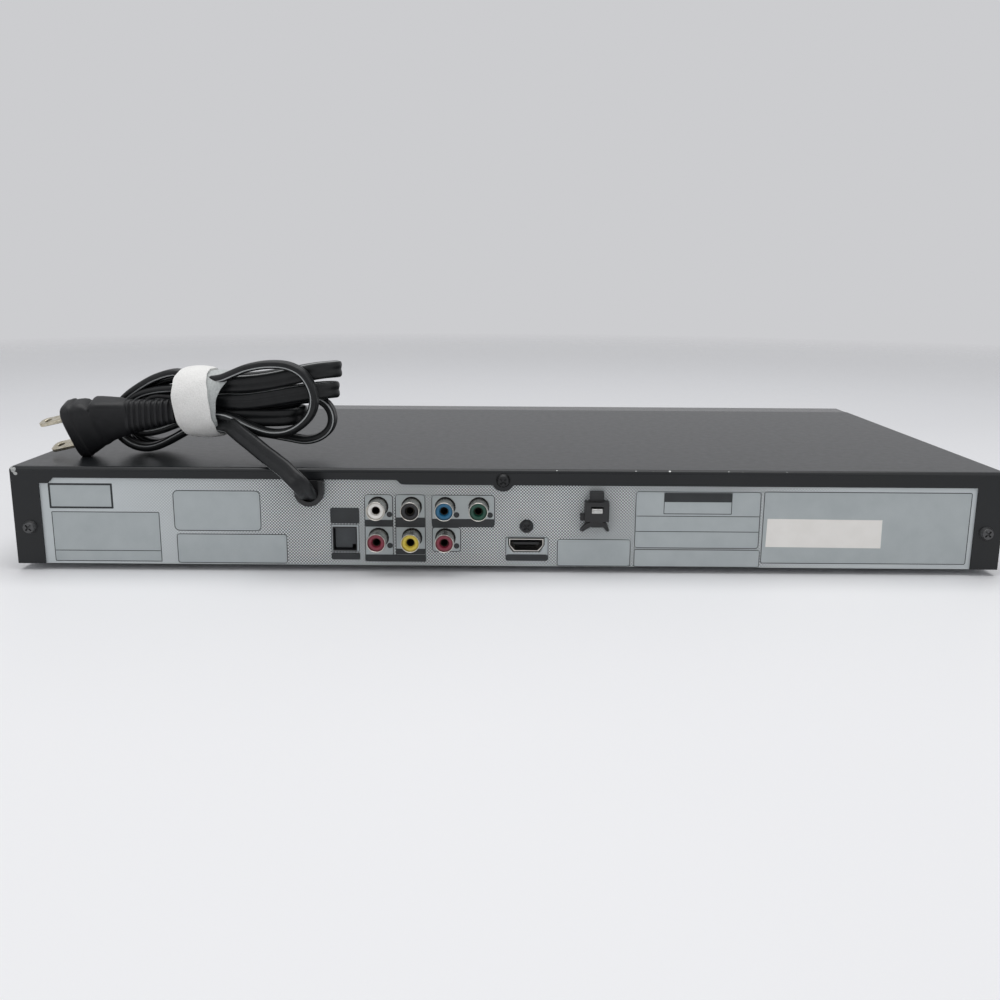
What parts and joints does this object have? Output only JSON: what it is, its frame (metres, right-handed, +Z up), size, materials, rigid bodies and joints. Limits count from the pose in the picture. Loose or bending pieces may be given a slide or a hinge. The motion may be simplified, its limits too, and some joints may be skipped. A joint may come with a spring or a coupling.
{
  "type": "disc player",
  "caption": "Slim disc player with a sliding front tray, sprung front buttons, rear jacks and a hanked mains cord with a two-blade plug.",
  "frame": {"origin": "under the middle of the player, on the surface its feet stand on, measured without the cord", "axes": "+Z up; the tray opens towards -Y; the sockets face +Y"},
  "size_m": [0.43, 0.2218, 0.0885],
  "materials": {
    "plated_steel": "zinc-plated sheet, satin",
    "printed_panel": "screen-printed sheet, satin with a fine dot screen",
    "cover_paint": "charcoal paint, satin, worn at the edges",
    "bezel_plastic": "moulded, semi-gloss",
    "smoked_window": "smoked acrylic, gloss",
    "foot_rubber": "matt",
    "black_steel": "blackened screws, satin",
    "black_plastic": "moulded, matt",
    "nickel": "nickel-plated, bright",
    "insert_white": "moulded, semi-gloss",
    "insert_black": "moulded, semi-gloss",
    "insert_red": "moulded, semi-gloss",
    "insert_yellow": "moulded, semi-gloss",
    "insert_blue": "moulded, semi-gloss",
    "insert_green": "moulded, semi-gloss",
    "cord_pvc": "soft vinyl, satin",
    "tie_fabric": "woven strap with a soft nap",
    "blade_brass": "plain, slightly dulled",
    "green_board": "lacquered laminate",
    "brown_board": "paper laminate",
    "chip_black": "moulded, matt",
    "capacitor_sleeve": "shrunk sleeve",
    "ferrite": "sintered, matt",
    "aluminium": "extruded, plain",
    "display_glass": "clear glass over a dark grid",
    "cable_ribbon": "flat film cable",
    "loader_black": "moulded, matt",
    "tray_plastic": "moulded, fine texture",
    "door_plastic": "moulded, semi-gloss",
    "gear_acetal": "acetal, satin",
    "belt_rubber": "matt",
    "motor_steel": "drawn can, satin",
    "sled_zinc": "die-cast, plain",
    "lens_glass": "coated lens",
    "ground_steel": "ground rod, bright",
    "button_plastic": "moulded, satin silver"
  },
  "bodies": {
    "case": {"chassis_pan": "plated_steel", "rear_panel": "printed_panel", "top_cover": "cover_paint", "front_bezel": "bezel_plastic", "display_window": "smoked_window", "feet": "foot_rubber", "case_screws": "black_steel", "jack_blocks": "black_plastic", "jack_shells": "nickel", "insert_white": "insert_white", "insert_black": "insert_black", "insert_red": "insert_red", "insert_yellow": "insert_yellow", "insert_blue": "insert_blue", "insert_green": "insert_green", "video_socket_shell": "nickel", "video_socket_tongue": "black_plastic", "optical_socket": "black_plastic", "panel_clip": "black_plastic", "cord_bushing": "black_plastic", "cord_lead": "cord_pvc", "cord_hank": "cord_pvc", "cord_tie": "tie_fabric", "plug_body": "cord_pvc", "plug_blades": "blade_brass", "main_board": "green_board", "board_chips": "chip_black", "capacitors": "capacitor_sleeve", "supply_board": "brown_board", "transformer": "ferrite", "heatsink": "aluminium", "front_board": "green_board", "tact_switches": "chip_black", "display_tube": "display_glass", "inner_cables": "cable_ribbon", "loader_frame": "loader_black", "clamp_bridge": "plated_steel", "loading_motor": "motor_steel", "drive_belt": "belt_rubber", "dampers": "foot_rubber"},
    "tray": {"tray": "tray_plastic", "tray_door": "door_plastic"},
    "drive_gear": {"drive_gear": "gear_acetal"},
    "pulley_gear": {"pulley_gear": "gear_acetal"},
    "motor_pulley": {"motor_pulley": "gear_acetal"},
    "cam_slide": {"cam_slide": "gear_acetal"},
    "traverse": {"traverse": "plated_steel", "guide_rods": "ground_steel", "spindle_motor": "motor_steel", "sled_motor": "motor_steel"},
    "turntable": {"turntable": "loader_black"},
    "clamper": {"clamper": "loader_black"},
    "pickup": {"pickup": "sled_zinc", "lens": "lens_glass"},
    "leadscrew": {"leadscrew": "ground_steel"},
    "eject_button": {"eject_button": "button_plastic"},
    "play_button": {"play_button": "button_plastic"},
    "stop_button": {"stop_button": "button_plastic"},
    "power_button": {"power_button": "button_plastic"},
    "optical_shutter": {"optical_shutter": "black_plastic"}
  },
  "joints": [
    {"name": "tray_slide", "type": "slide", "parent": "case", "child": "tray", "axis": [0, -1, 0], "range_m": [0, 0.14]},
    {"name": "drive_gear_spin", "type": "hinge", "parent": "case", "child": "drive_gear", "pos_m": [-0.054, -0.07795, 0.017], "axis": [0, 0, 1], "range_deg": [-1004.7, 2]},
    {"name": "pulley_gear_spin", "type": "hinge", "parent": "case", "child": "pulley_gear", "pos_m": [-0.0748, -0.07795, 0.017], "axis": [0, 0, 1], "range_deg": [-5, 3347.3]},
    {"name": "motor_pulley_spin", "type": "hinge", "parent": "case", "child": "motor_pulley", "pos_m": [-0.122, -0.07995, 0.021], "axis": [0, 0, 1], "range_deg": [-10, 11150.8]},
    {"name": "traverse_lift", "type": "hinge", "parent": "case", "child": "traverse", "pos_m": [-0.102, 0.07065, 0.0152], "axis": [1, 0, 0], "range_deg": [0, 3.5]},
    {"name": "cam_slide_travel", "type": "slide", "parent": "case", "child": "cam_slide", "axis": [1, 0, 0], "range_m": [-0.0002, 0.0242]},
    {"name": "turntable_spin", "type": "hinge", "parent": "traverse", "child": "turntable", "pos_m": [-0.102, -0.02335, 0.03], "axis": [0, 0, 1], "continuous": true},
    {"name": "clamper_spin", "type": "hinge", "parent": "case", "child": "clamper", "pos_m": [-0.102, -0.02335, 0.036], "axis": [0, 0, 1], "continuous": true},
    {"name": "pickup_slide", "type": "slide", "parent": "traverse", "child": "pickup", "axis": [0, 1, 0], "range_m": [0, 0.033]},
    {"name": "leadscrew_spin", "type": "hinge", "parent": "traverse", "child": "leadscrew", "pos_m": [-0.073, 0.00165, 0.02], "axis": [0, 1, 0], "range_deg": [-5, 3965]},
    {"name": "eject_press", "type": "slide", "parent": "case", "child": "eject_button", "axis": [0, 1, 0], "range_m": [0, 0.0005], "stiffness_N_per_m": 400},
    {"name": "play_press", "type": "slide", "parent": "case", "child": "play_button", "axis": [0, 1, 0], "range_m": [0, 0.0005], "stiffness_N_per_m": 400},
    {"name": "stop_press", "type": "slide", "parent": "case", "child": "stop_button", "axis": [0, 1, 0], "range_m": [0, 0.0005], "stiffness_N_per_m": 400},
    {"name": "power_press", "type": "slide", "parent": "case", "child": "power_button", "axis": [0, 1, 0], "range_m": [0, 0.0005], "stiffness_N_per_m": 400},
    {"name": "shutter_swing", "type": "hinge", "parent": "case", "child": "optical_shutter", "pos_m": [0.0712, 0.09605, 0.019], "axis": [-1, 0, 0], "range_deg": [0, 80], "stiffness_Nm_per_rad": 0.004}
  ],
  "couplings": [
    {"joint": "drive_gear_spin", "follows": "tray_slide", "rad_per_m": -125},
    {"joint": "pulley_gear_spin", "follows": "tray_slide", "rad_per_m": 416.67},
    {"joint": "motor_pulley_spin", "follows": "tray_slide", "rad_per_m": 1388.9},
    {"joint": "cam_slide_travel", "follows": "traverse_lift", "m_per_rad": 0.39288},
    {"joint": "clamper_spin", "follows": "turntable_spin", "ratio": 1},
    {"joint": "leadscrew_spin", "follows": "pickup_slide", "rad_per_m": 2094.4}
  ]
}
